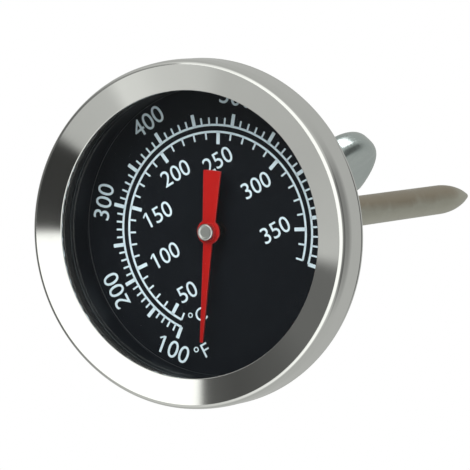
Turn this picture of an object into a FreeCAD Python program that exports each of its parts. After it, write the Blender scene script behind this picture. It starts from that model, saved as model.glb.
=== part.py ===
"""Bimetal dial thermometer for a barbecue lid, as an assembly of separate pieces.

Frame: the origin is on the stem's axis, in the plane of the case's back face, which
seats on the lid. +Y runs along the stem towards its point, the dial faces -Y, and +Z
points to the dial's 12 o'clock. Every length is in millimetres.
"""
import FreeCAD, Part

import math
import os

Vector = FreeCAD.Vector
AXIS = Vector(0, 1, 0)
ORIGIN = Vector(0, 0, 0)
HALF_ROOT = math.sqrt(0.5)

# Case: a pressed cup whose flange is held in the hem of the bezel ring.
CUP_R = 23.4
CUP_SHEET = 0.6
CUP_CORNER_R = 1.4
FLANGE_R = 25.7
FLANGE_FRONT_Y = -8.1
FLOOR_HOLE_R = 4.05

# Bezel: the broad polished ring, dished towards the glass, with a rounded rim.
BEZEL_R = 26.4
BEZEL_BULGE = 0.12
BEZEL_SHEET = 0.5
BEZEL_INNER_R = 21.8
BEZEL_INNER_Y = -12.7
BEZEL_CREST_R = 25.4
BEZEL_CREST_Y = -13.55
BEZEL_RIM_END_Y = -12.55
BEZEL_REAR_Y = -6.8
HEM_INNER_R = 24.2
HEM_ROUND = 0.35

# Glass, seal, spacer, dial and dial seat, stacked between the bezel and the floor.
GLASS_R = 25.3
GLASS_FRONT_Y = -12.1
GLASS_THICK = 2.4
GLASS_BEVEL = 0.3
SEAL_INNER_R = 22.2
SEAL_OUTER_R = 25.6
SPACER_WALL = 0.5
DIAL_R = 22.7
DIAL_FRONT_Y = -2.1
DIAL_THICK = 0.5
DIAL_HOLE_R = 1.6
DIAL_SEAT_INNER_R = 20.2

# Pointer, on the shaft that the bimetal turns.
POINTER_FRONT_Y = -4.9
POINTER_THICK = 0.35
POINTER_NEEDLE = 17.0
POINTER_TAIL = 9.4
POINTER_TIP_W = 0.6
POINTER_ROOT_W = 1.75
POINTER_NECK_W = 2.15
POINTER_TAIL_W = 3.0
POINTER_DISC_R = 1.9
POINTER_REST_DEG = -146.2
CAP_R = 1.31
CAP_FRONT_Y = -6.1
CAP_EDGE = 0.2
CAP_RECESS_R = 0.85
CAP_RECESS_DEEP = 0.15
HUB_R = 0.95
HUB_REAR_Y = -3.3
SHAFT_R = 0.6
SHAFT_END_Y = 31.0
RUNNING_GAP = 0.05

# Stem: a thin tube, closed by a pointed plug, with the bimetal coil inside it.
STEM_R = 2.5
STEM_WALL = 0.4
STEM_FIT_R = 2.3
FIT_GAP = 0.01
STEM_END_Y = 81.5
TIP_END_Y = 93.5
TIP_ROUND_R = 0.55
TIP_SPIGOT = 4.0
UPPER_BUSH_Y = (-1.0, 5.0)
LOWER_BUSH_Y = (24.0, 28.0)
COLLAR_R = 1.7
COLLAR_LENGTH = 2.4
COIL_GAP = 0.05
COIL_MEAN_R = 1.45
COIL_STRIP_THICK = 0.25
COIL_STRIP_W = 1.3
COIL_PITCH = 2.4
COIL_TURNS = 17
ANCHOR_LENGTH = 3.0

# Threaded shank that passes through the lid, and the pieces that clamp it.
THREAD_R = 4.0
THREAD_PITCH = 1.25
THREAD_DEPTH = 0.68
THREAD_START_Y = 1.0
THREAD_LENGTH = 22.5
SHANK_END_Y = 25.0
SHANK_HEAD_R = 7.0
SHANK_HEAD_THICK = 0.8
THREAD_CLEARANCE = 0.12
WASHER_R = 9.0
WASHER_HOLE_R = 4.3
WASHER_FRONT_Y = 10.0
WASHER_THICK = 1.5
NUT_BASE_Y = 11.6
NUT_HUB_R = 7.6
NUT_HUB_TOP_R = 6.6
NUT_HUB_HEIGHT = 10.0
WING_THICK = 4.3
WING_CORNER_R = 1.8
WING_EDGE_R = 1.5
WING_DEG = 69.7

# Heights and radii that follow from the values above.
GLASS_REAR_Y = GLASS_FRONT_Y + GLASS_THICK
FLOOR_INNER_Y = -CUP_SHEET
CUP_BORE_R = CUP_R - CUP_SHEET
FLANGE_REAR_Y = FLANGE_FRONT_Y + CUP_SHEET
DIAL_REAR_Y = DIAL_FRONT_Y + DIAL_THICK
POINTER_REAR_Y = POINTER_FRONT_Y + POINTER_THICK
SHANK_HEAD_Y = FLOOR_INNER_Y - SHANK_HEAD_THICK
STEM_BORE_R = STEM_R - STEM_WALL
COIL_START_Y = SHAFT_END_Y + COLLAR_LENGTH / 2 + COIL_GAP
COIL_LENGTH = COIL_PITCH * COIL_TURNS + COIL_STRIP_W
ANCHOR_Y = COIL_START_Y + COIL_LENGTH


def path_edges(steps):
    """Edges through (r, y) points; a step of two points is an arc's middle and end."""
    edges = []
    here = Vector(*steps[0], 0)
    for step in steps[1:]:
        if isinstance(step[0], tuple):
            middle, end = (Vector(*point, 0) for point in step)
            edges.append(Part.Arc(here, middle, end).toShape())
        else:
            end = Vector(*step, 0)
            edges.append(Part.LineSegment(here, end).toShape())
        here = end
    return edges


def turned(steps):
    """A solid of revolution about the Y axis from a closed (r, y) outline."""
    edges = path_edges(steps + [steps[0]])
    face = Part.Face(Part.Wire(edges))
    return face.revolve(ORIGIN, AXIS, 360)


def rod(radius, y_low, y_high):
    """A solid cylinder on the axis."""
    return Part.makeCylinder(radius, y_high - y_low, Vector(0, y_low, 0), AXIS)


def ring(inner_r, outer_r, y_low, y_high):
    """A plain ring on the axis."""
    return turned([(inner_r, y_low), (outer_r, y_low), (outer_r, y_high), (inner_r, y_high)])


def plate(outline, y_low, thickness):
    """A flat plate parallel to the dial, from a closed list of (x, z) points and arcs."""
    face = Part.Face(Part.Wire(path_edges(outline + [outline[0]])))
    solid = face.extrude(Vector(0, 0, thickness))
    solid.rotate(ORIGIN, Vector(1, 0, 0), 90)
    solid.translate(Vector(0, y_low + thickness, 0))
    return solid


def runs_across(edge):
    """True for a straight edge through a flat lobe's thickness."""
    return abs(edge.tangentAt(edge.FirstParameter).z) > 0.9


def clock_turn(shape, degrees):
    """Turns a shape about the axis, clockwise as the dial is read."""
    shape.rotate(ORIGIN, AXIS, degrees)
    return shape


def bezel_ring():
    """The pressed ring: a dished face, a rounded rim, a side wall and a rear hem."""
    t = BEZEL_SHEET
    inner_wall_r = BEZEL_R - t
    mid_y = (BEZEL_RIM_END_Y + BEZEL_REAR_Y) / 2
    corner = (BEZEL_R - 0.28, BEZEL_CREST_Y + 0.28)
    outer = [
        (BEZEL_INNER_R, BEZEL_INNER_Y),
        (BEZEL_CREST_R, BEZEL_CREST_Y),
        (corner, (BEZEL_R, BEZEL_RIM_END_Y)),
        ((BEZEL_R + BEZEL_BULGE, mid_y), (BEZEL_R, BEZEL_REAR_Y - HEM_ROUND)),
        ((BEZEL_R - 0.1, BEZEL_REAR_Y - 0.1), (BEZEL_R - HEM_ROUND, BEZEL_REAR_Y)),
        (HEM_INNER_R, BEZEL_REAR_Y),
    ]
    inner = [
        (HEM_INNER_R, BEZEL_REAR_Y - t),
        (inner_wall_r, BEZEL_REAR_Y - t),
        (inner_wall_r, BEZEL_RIM_END_Y),
        ((inner_wall_r - 0.14, BEZEL_CREST_Y + t + 0.2), (BEZEL_CREST_R, BEZEL_CREST_Y + t)),
        (BEZEL_INNER_R + 0.1, BEZEL_INNER_Y + t),
        ((BEZEL_INNER_R - 0.2, BEZEL_INNER_Y + t / 2), (BEZEL_INNER_R, BEZEL_INNER_Y)),
    ]
    edges = path_edges(outer + inner)
    return Part.Face(Part.Wire(edges)).revolve(ORIGIN, AXIS, 360)


def case_cup():
    """The deep cup: flange, straight wall, rounded corner and a floor with a hole."""
    k = 1 - HALF_ROOT
    outer_c = CUP_CORNER_R
    inner_c = CUP_CORNER_R - CUP_SHEET
    return turned([
        (CUP_BORE_R, FLANGE_FRONT_Y),
        (FLANGE_R, FLANGE_FRONT_Y),
        (FLANGE_R, FLANGE_REAR_Y),
        (CUP_R, FLANGE_REAR_Y),
        (CUP_R, -outer_c),
        ((CUP_R - outer_c * k, -outer_c * k), (CUP_R - outer_c, 0)),
        (FLOOR_HOLE_R, 0),
        (FLOOR_HOLE_R, FLOOR_INNER_Y),
        (CUP_BORE_R - inner_c, FLOOR_INNER_Y),
        ((CUP_BORE_R - inner_c * k, FLOOR_INNER_Y - inner_c * k),
         (CUP_BORE_R, FLOOR_INNER_Y - inner_c)),
    ])


def lens_glass():
    """The flat window, with a small bevel round its front edge."""
    b = GLASS_BEVEL
    return turned([
        (0, GLASS_FRONT_Y), (GLASS_R - b, GLASS_FRONT_Y), (GLASS_R, GLASS_FRONT_Y + b),
        (GLASS_R, GLASS_REAR_Y), (0, GLASS_REAR_Y),
    ])


def lens_gasket():
    """The soft seal between the glass and the cup's flange."""
    return ring(SEAL_INNER_R, SEAL_OUTER_R, GLASS_REAR_Y, FLANGE_FRONT_Y)


def spacer_ring():
    """The black sleeve that lines the case and holds the dial down on its seat."""
    outer_r = SEAL_INNER_R + SPACER_WALL
    return ring(SEAL_INNER_R, outer_r, FLANGE_FRONT_Y, DIAL_FRONT_Y)


def dial_plate():
    """The printed disc, with a hole for the pointer's shaft."""
    return ring(DIAL_HOLE_R, DIAL_R, DIAL_FRONT_Y, DIAL_REAR_Y)


def dial_seat_ring():
    """The flat ring that carries the dial clear of the shank's head."""
    inner_c = CUP_CORNER_R - CUP_SHEET
    return turned([
        (DIAL_SEAT_INNER_R, DIAL_REAR_Y), (DIAL_R, DIAL_REAR_Y),
        (DIAL_R - inner_c, FLOOR_INNER_Y), (DIAL_SEAT_INNER_R, FLOOR_INNER_Y),
    ])


def pointer():
    """The flat hand: a tapered needle, a disc and a broader tail with a rounded end."""
    blade = plate([
        (POINTER_ROOT_W / 2, 0), (POINTER_TIP_W / 2, POINTER_NEEDLE),
        (-POINTER_TIP_W / 2, POINTER_NEEDLE), (-POINTER_ROOT_W / 2, 0),
    ], POINTER_FRONT_Y, POINTER_THICK)
    tail = plate([
        (-POINTER_NECK_W / 2, 0), (-POINTER_TAIL_W / 2, 0.4 - POINTER_TAIL),
        ((0, -POINTER_TAIL), (POINTER_TAIL_W / 2, 0.4 - POINTER_TAIL)),
        (POINTER_NECK_W / 2, 0),
    ], POINTER_FRONT_Y, POINTER_THICK)
    disc = rod(POINTER_DISC_R, POINTER_FRONT_Y, POINTER_REAR_Y)
    hand = blade.fuse([tail, disc]).removeSplitter()
    hand = hand.cut(rod(SHAFT_R, POINTER_FRONT_Y, POINTER_REAR_Y))
    return clock_turn(hand, POINTER_REST_DEG)


def pointer_cap():
    """The bright rivet head that holds the hand, with a bevelled edge and a shallow recess."""
    return turned([
        (0, CAP_FRONT_Y + CAP_RECESS_DEEP), (CAP_RECESS_R, CAP_FRONT_Y + CAP_RECESS_DEEP),
        (CAP_RECESS_R + CAP_RECESS_DEEP, CAP_FRONT_Y), (CAP_R - CAP_EDGE, CAP_FRONT_Y),
        (CAP_R, CAP_FRONT_Y + CAP_EDGE), (CAP_R, POINTER_FRONT_Y), (0, POINTER_FRONT_Y),
    ])


def pointer_hub():
    """The brass bush that grips the shaft behind the hand."""
    return ring(SHAFT_R, HUB_R, POINTER_REAR_Y, HUB_REAR_Y)


def pointer_shaft():
    """The thin wire shaft from the hand down to the bimetal's collar."""
    return rod(SHAFT_R, POINTER_FRONT_Y, SHAFT_END_Y)


def shaft_bush(span):
    """A bush in the stem that the shaft turns in."""
    return ring(SHAFT_R + RUNNING_GAP, STEM_BORE_R - FIT_GAP, *span)


def coil_collar():
    """The collar on the shaft's end that the top of the coil is welded to."""
    low = SHAFT_END_Y - COLLAR_LENGTH / 2
    high = SHAFT_END_Y + COLLAR_LENGTH / 2
    return rod(COLLAR_R, low, high).cut(rod(SHAFT_R, low, SHAFT_END_Y))


def helix_sweep(radius, pitch, turns, section, y_low):
    """A solid swept along a helix about the axis; the section is drawn at +X, y = 0."""
    helix = Part.makeLongHelix(pitch, pitch * turns, radius, 0, False)
    helix.rotate(ORIGIN, Vector(1, 0, 0), -90)
    sweep = Part.BRepOffsetAPI.MakePipeShell(Part.Wire(helix.Edges))
    sweep.setFrenetMode(True)
    sweep.add(section)
    sweep.build()
    sweep.makeSolid()
    solid = sweep.shape()
    solid.translate(Vector(0, y_low, 0))
    return solid


def bimetal_helix():
    """The coiled bimetal strip that turns the shaft as the stem warms."""
    inner = COIL_MEAN_R - COIL_STRIP_THICK / 2
    outer = COIL_MEAN_R + COIL_STRIP_THICK / 2
    half = COIL_STRIP_W / 2
    corners = [(inner, -half), (outer, -half), (outer, half), (inner, half), (inner, -half)]
    section = Part.Wire(path_edges(corners))
    return helix_sweep(COIL_MEAN_R, COIL_PITCH, COIL_TURNS, section, COIL_START_Y + half)


def coil_anchor():
    """The plug pressed into the stem that holds the coil's lower end still."""
    return rod(STEM_BORE_R - FIT_GAP, ANCHOR_Y, ANCHOR_Y + ANCHOR_LENGTH)


def stem_tube():
    """The long thin tube, slightly reduced where it is pressed into the shank."""
    return turned([
        (STEM_BORE_R, SHANK_HEAD_Y), (STEM_FIT_R, SHANK_HEAD_Y), (STEM_FIT_R, SHANK_END_Y),
        (STEM_R, SHANK_END_Y), (STEM_R, STEM_END_Y), (STEM_BORE_R, STEM_END_Y),
    ])


def stem_tip():
    """The pointed plug: a spigot in the tube and an ogive with a small round nose."""
    nose_y = TIP_END_Y - TIP_ROUND_R
    spigot_r = STEM_BORE_R - FIT_GAP
    shoulder = (STEM_R * 0.80, STEM_END_Y + (TIP_END_Y - STEM_END_Y) * 0.47)
    return turned([
        (0, STEM_END_Y - TIP_SPIGOT), (spigot_r, STEM_END_Y - TIP_SPIGOT),
        (spigot_r, STEM_END_Y), (STEM_R, STEM_END_Y),
        (shoulder, (TIP_ROUND_R, nose_y)),
        ((TIP_ROUND_R * HALF_ROOT, nose_y + TIP_ROUND_R * HALF_ROOT), (0, TIP_END_Y)),
    ])


def threaded_shank():
    """The stud through the lid: an inner head, a plain neck and a real helical thread."""
    core_r = THREAD_R - THREAD_DEPTH
    blank = turned([
        (0, SHANK_HEAD_Y), (SHANK_HEAD_R, SHANK_HEAD_Y), (SHANK_HEAD_R, FLOOR_INNER_Y),
        (THREAD_R, FLOOR_INNER_Y), (THREAD_R, THREAD_START_Y), (core_r, THREAD_START_Y + 0.5),
        (core_r, SHANK_END_Y), (0, SHANK_END_Y),
    ])
    root = THREAD_PITCH * 0.40
    crest = THREAD_PITCH * 0.08
    sunk_r = core_r - 0.12
    corners = [(sunk_r, -root), (THREAD_R, -crest), (THREAD_R, crest), (sunk_r, root), (sunk_r, -root)]
    section = Part.Wire(path_edges(corners))
    turns = THREAD_LENGTH / THREAD_PITCH
    thread = helix_sweep(THREAD_R, THREAD_PITCH, turns, section, THREAD_START_Y + root)
    return blank.fuse(thread).cut(rod(STEM_FIT_R + FIT_GAP, SHANK_HEAD_Y, SHANK_END_Y))


def clamp_washer():
    """The plain washer that spreads the nut's load on the lid."""
    return ring(WASHER_HOLE_R, WASHER_R, WASHER_FRONT_Y, WASHER_FRONT_Y + WASHER_THICK)


def wing():
    """One lobe of the nut, standing along +X from the axis, with every edge rounded."""
    outline = [
        (5.0, 1.2), (7.4, 1.6), ((14.0, 4.0), (16.9, 8.6)), ((17.6, 13.6), (16.2, 19.0)),
        ((12.23, 23.18), (6.6, 24.4)), ((5.3, 17.0), (5.0, 8.6)),
    ]
    face = Part.Face(Part.Wire(path_edges(outline + [outline[0]])))
    lobe = face.extrude(Vector(0, 0, WING_THICK))
    lobe.translate(Vector(0, NUT_BASE_Y, -WING_THICK / 2))
    lobe = lobe.makeFillet(WING_CORNER_R, [edge for edge in lobe.Edges if runs_across(edge)])
    return lobe.makeFillet(WING_EDGE_R, [edge for edge in lobe.Edges if not runs_across(edge)])


def wing_nut():
    """The nut: a tapered hub with two rounded wings, bored clear of the thread's crests."""
    top_y = NUT_BASE_Y + NUT_HUB_HEIGHT
    hub = turned([
        (0, NUT_BASE_Y), (NUT_HUB_R - 0.5, NUT_BASE_Y), (NUT_HUB_R, NUT_BASE_Y + 0.5),
        (NUT_HUB_TOP_R, top_y - 0.6), (NUT_HUB_TOP_R - 0.6, top_y), (0, top_y),
    ])
    opposite = wing()
    opposite.rotate(ORIGIN, AXIS, 180)
    body = hub.fuse([wing(), opposite])
    body = body.cut(rod(THREAD_R + THREAD_CLEARANCE, NUT_BASE_Y, top_y + 15))
    return clock_turn(body, WING_DEG - 90)


def build():
    """Every node of the assembly by name."""
    return {
        "bezel_ring": bezel_ring(),
        "case_cup": case_cup(),
        "lens_glass": lens_glass(),
        "lens_gasket": lens_gasket(),
        "spacer_ring": spacer_ring(),
        "dial_plate": dial_plate(),
        "dial_seat_ring": dial_seat_ring(),
        "pointer": pointer(),
        "pointer_cap": pointer_cap(),
        "pointer_hub": pointer_hub(),
        "pointer_shaft": pointer_shaft(),
        "upper_shaft_bush": shaft_bush(UPPER_BUSH_Y),
        "lower_shaft_bush": shaft_bush(LOWER_BUSH_Y),
        "coil_collar": coil_collar(),
        "bimetal_helix": bimetal_helix(),
        "coil_anchor": coil_anchor(),
        "stem_tube": stem_tube(),
        "stem_tip": stem_tip(),
        "threaded_shank": threaded_shank(),
        "clamp_washer": clamp_washer(),
        "wing_nut": wing_nut(),
    }


def main():
    """Writes one STEP file per node."""
    os.makedirs("parts", exist_ok=True)
    for name, shape in build().items():
        shape.exportStep("parts/" + name + ".step")
        box = shape.BoundBox
        print(f"{name:18} solids {len(shape.Solids)} valid {shape.isValid()} volume {shape.Volume:9.2f} "
              f"y {box.YMin:7.2f} to {box.YMax:7.2f}")


main()
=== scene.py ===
"""Looks for a dial thermometer of a barbecue lid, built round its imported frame.

Every object is in metres in the frame of the part: the stem runs along +Y, the dial
faces -Y and its 12 o'clock points to +Z. Sizes in this script are in millimetres and
are turned into metres where a mesh is made.
"""
import logging
import math
from dataclasses import dataclass
from enum import Enum
from typing import Callable, Iterable, Optional, Sequence

import bpy
from mathutils import Matrix, Vector


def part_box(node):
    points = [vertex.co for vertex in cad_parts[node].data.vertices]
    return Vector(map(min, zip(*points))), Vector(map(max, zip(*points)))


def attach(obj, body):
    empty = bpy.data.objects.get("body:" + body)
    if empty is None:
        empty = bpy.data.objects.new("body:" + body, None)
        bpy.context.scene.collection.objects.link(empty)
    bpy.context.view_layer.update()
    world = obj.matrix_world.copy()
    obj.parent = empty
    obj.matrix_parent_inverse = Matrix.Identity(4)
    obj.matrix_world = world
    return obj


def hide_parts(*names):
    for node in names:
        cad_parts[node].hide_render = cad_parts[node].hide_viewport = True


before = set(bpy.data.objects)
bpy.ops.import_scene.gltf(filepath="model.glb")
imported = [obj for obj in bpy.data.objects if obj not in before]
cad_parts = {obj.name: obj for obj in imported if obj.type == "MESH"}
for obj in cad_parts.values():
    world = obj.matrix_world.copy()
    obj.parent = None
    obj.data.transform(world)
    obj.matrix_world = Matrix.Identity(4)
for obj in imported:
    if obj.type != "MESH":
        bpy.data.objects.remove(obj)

LOG = logging.getLogger("thermometer")
MM = 0.001
FULL_TURN = 2 * math.pi
MERGE_M = 1e-7
BLADE_ROOT_MM = 1.8
IMAGE_SIDE = 470
SENSOR_MM = 36.0

Point = tuple[float, float]
Colour = tuple[float, float, float]


# ---------------------------------------------------------------- outlines


def rounded(corners: Sequence[tuple[float, ...]], closed: bool = True, steps: int = 6) -> list[Point]:
    """Rounds the corners of an outline.

    Args:
        corners: (radius, height) or (radius, height, rounding) for each corner, in mm.
        closed: whether the last corner joins the first.
        steps: pieces that each rounding is divided into.

    Returns:
        The outline's points, in mm, ending on the first one again when it is closed.
    """
    points: list[Point] = []
    count = len(corners)
    for i, corner in enumerate(corners):
        here = Vector(corner[:2])
        size = corner[2] if len(corner) > 2 else 0.0
        at_end = not closed and i in (0, count - 1)
        if size <= 0 or at_end:
            points.append((here.x, here.y))
            continue
        back = (Vector(corners[i - 1][:2]) - here).normalized()
        ahead = (Vector(corners[(i + 1) % count][:2]) - here).normalized()
        half = back.angle(ahead) / 2
        centre = here + (back + ahead).normalized() * (size / math.sin(half))
        start = here + back * (size / math.tan(half)) - centre
        end = here + ahead * (size / math.tan(half)) - centre
        for k in range(steps + 1):
            spoke = start.slerp(end, k / steps, start) * size
            points.append(((centre + spoke).x, (centre + spoke).y))
    if closed:
        points.append(points[0])
    return points


def held(points: Sequence[Point], reach: float = 0.12) -> list[Point]:
    """Adds a point near each end of every long straight run, so that it shades flat.

    Args:
        points: an outline in mm.
        reach: how far from the ends the points go, in mm.

    Returns:
        The outline with the extra points.
    """
    full = [points[0]]
    for here, there in zip(points, points[1:]):
        run = math.dist(here, there)
        if run > 4 * reach:
            for share in (reach / run, 1 - reach / run):
                full.append((here[0] + (there[0] - here[0]) * share, here[1] + (there[1] - here[1]) * share))
        full.append(there)
    return full


def arc_through(a: Point, b: Point, c: Point, steps: int) -> list[Point]:
    """Points along the circular arc from a through b to c, in mm.

    Args:
        a: where the arc starts.
        b: a point on the way.
        c: where it ends.
        steps: pieces that the arc is divided into.

    Returns:
        The points, both ends included.
    """
    ax, ay, bx, by, cx, cy = *a, *b, *c
    d = 2 * (ax * (by - cy) + bx * (cy - ay) + cx * (ay - by))
    ux = ((ax**2 + ay**2) * (by - cy) + (bx**2 + by**2) * (cy - ay) + (cx**2 + cy**2) * (ay - by)) / d
    uy = ((ax**2 + ay**2) * (cx - bx) + (bx**2 + by**2) * (ax - cx) + (cx**2 + cy**2) * (bx - ax)) / d
    radius = math.hypot(ax - ux, ay - uy)
    first, mid, last = (math.atan2(p[1] - uy, p[0] - ux) for p in (a, b, c))
    sweep = (last - first) % FULL_TURN
    if (mid - first) % FULL_TURN > sweep:
        sweep -= FULL_TURN
    angles = [first + sweep * k / steps for k in range(steps + 1)]
    return [(ux + radius * math.cos(t), uy + radius * math.sin(t)) for t in angles]


# ---------------------------------------------------------------- bench tools


class Bench:
    """Modelling steps, done with Blender's own operators one piece at a time."""

    @staticmethod
    def clear() -> None:
        """Leaves nothing selected."""
        if bpy.context.object and bpy.context.object.mode != "OBJECT":
            bpy.ops.object.mode_set(mode="OBJECT")
        bpy.ops.object.select_all(action="DESELECT")

    @staticmethod
    def take(piece: bpy.types.Object) -> bpy.types.Object:
        """Makes one piece the only selected and active one."""
        Bench.clear()
        piece.select_set(True)
        bpy.context.view_layer.objects.active = piece
        return piece

    @staticmethod
    def keep(name: str) -> bpy.types.Object:
        """Names the active object and its mesh, puts it at the origin and returns it.

        Args:
            name: the piece's name.

        Returns:
            The piece, with its place in its mesh.
        """
        piece = bpy.context.object
        piece.name = name
        piece.data.name = name
        bpy.ops.object.transform_apply(location=True, rotation=True, scale=True)
        return piece

    @staticmethod
    def modifier(piece: bpy.types.Object, kind: str, **settings: object) -> None:
        """Adds a modifier and applies it.

        Args:
            piece: the object to change.
            kind: the modifier's type.
            settings: its properties.
        """
        Bench.take(piece)
        step = piece.modifiers.new(kind.lower(), kind)
        for key, value in settings.items():
            setattr(step, key, value)
        bpy.ops.object.modifier_apply(modifier=step.name)

    @staticmethod
    def smooth(piece: bpy.types.Object, degrees: float = 35.0) -> bpy.types.Object:
        """Shades a piece smooth, except where its faces meet at a sharper angle."""
        Bench.take(piece)
        bpy.ops.object.shade_smooth_by_angle(angle=math.radians(degrees))
        return piece

    @staticmethod
    def select_edges(piece: bpy.types.Object, test: Callable[[Vector], bool]) -> None:
        """Selects, in edit mode, the edges whose ends both lie where a test says.

        Args:
            piece: the mesh object, already being edited.
            test: takes a place in mm and says whether it is wanted.
        """
        bpy.ops.mesh.select_mode(type="EDGE")
        bpy.ops.mesh.select_all(action="DESELECT")
        bpy.ops.object.mode_set(mode="OBJECT")
        mesh = piece.data
        for edge in mesh.edges:
            edge.select = all(test(mesh.vertices[i].co / MM) for i in edge.vertices)
        bpy.ops.object.mode_set(mode="EDIT")

    @staticmethod
    def turned(name: str, outline: Sequence[Point], steps: int, degrees: float = 360.0,
               start_deg: float = 0.0) -> bpy.types.Object:
        """Spins an outline about the axis of the stem.

        Args:
            name: the piece's name.
            outline: (radius, y) points in mm; a closed outline ends on its first point.
            steps: pieces that the turn is divided into.
            degrees: how far the outline is spun, clockwise as the dial is read.
            start_deg: where on the dial the spin starts, clockwise from 12 o'clock.

        Returns:
            The smooth, closed piece.
        """
        Bench.clear()
        bpy.ops.mesh.primitive_plane_add(size=MM, location=(0, 0, 0))
        piece = Bench.keep(name)
        bpy.ops.object.mode_set(mode="EDIT")
        bpy.ops.mesh.select_mode(type="VERT")
        bpy.ops.mesh.select_all(action="SELECT")
        bpy.ops.mesh.merge(type="CENTER")
        places = [Vector((0, y, r)) * MM for r, y in held(outline)]
        bpy.ops.transform.translate(value=places[0])
        for here, there in zip(places, places[1:]):
            bpy.ops.mesh.extrude_vertices_move(TRANSFORM_OT_translate={"value": there - here})
        bpy.ops.mesh.select_all(action="SELECT")
        bpy.ops.mesh.remove_doubles(threshold=MERGE_M)
        bpy.ops.mesh.spin(steps=steps, angle=-math.radians(degrees), center=(0, 0, 0), axis=(0, 1, 0))
        bpy.ops.mesh.select_all(action="SELECT")
        bpy.ops.mesh.remove_doubles(threshold=MERGE_M)
        if degrees < 360:
            bpy.ops.mesh.select_all(action="DESELECT")
            bpy.ops.mesh.select_mode(type="EDGE")
            bpy.ops.mesh.select_non_manifold()
            bpy.ops.mesh.edge_face_add()
            bpy.ops.mesh.select_all(action="SELECT")
        bpy.ops.mesh.normals_make_consistent(inside=False)
        bpy.ops.object.mode_set(mode="OBJECT")
        if start_deg:
            piece.data.transform(Matrix.Rotation(math.radians(start_deg), 4, "Y"))
        return Bench.smooth(piece)

    @staticmethod
    def copied(node: str, name: str) -> bpy.types.Object:
        """A separate, merged copy of a node's mesh, ready to be finished.

        Args:
            node: the node to copy.
            name: the copy's name.

        Returns:
            The copy, with its own mesh.
        """
        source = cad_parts[node]
        piece = bpy.data.objects.new(name, source.data.copy())
        piece.data.name = name
        piece.data.materials.clear()
        bpy.context.scene.collection.objects.link(piece)
        Bench.take(piece)
        bpy.ops.object.mode_set(mode="EDIT")
        bpy.ops.mesh.select_all(action="SELECT")
        bpy.ops.mesh.remove_doubles(threshold=2e-6)
        bpy.ops.mesh.normals_make_consistent(inside=False)
        bpy.ops.object.mode_set(mode="OBJECT")
        return piece

    @staticmethod
    def joined(name: str, pieces: Sequence[bpy.types.Object]) -> bpy.types.Object:
        """Joins meshes into one piece.

        Args:
            name: the joined piece's name.
            pieces: the meshes, each with its own data.

        Returns:
            The piece.
        """
        Bench.clear()
        for piece in pieces:
            piece.select_set(True)
        bpy.context.view_layer.objects.active = pieces[0]
        bpy.ops.object.join()
        return Bench.keep(name)


# ---------------------------------------------------------------- shared surface effects


class Effect(Enum):
    """The surface effects that more than one finish uses."""

    TOOL_RINGS = "tool_rings"
    MOTTLE = "mottle"
    SCRATCHES = "scratches"
    SPECKS = "specks"
    DRAWN_GRAIN = "drawn_grain"


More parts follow.
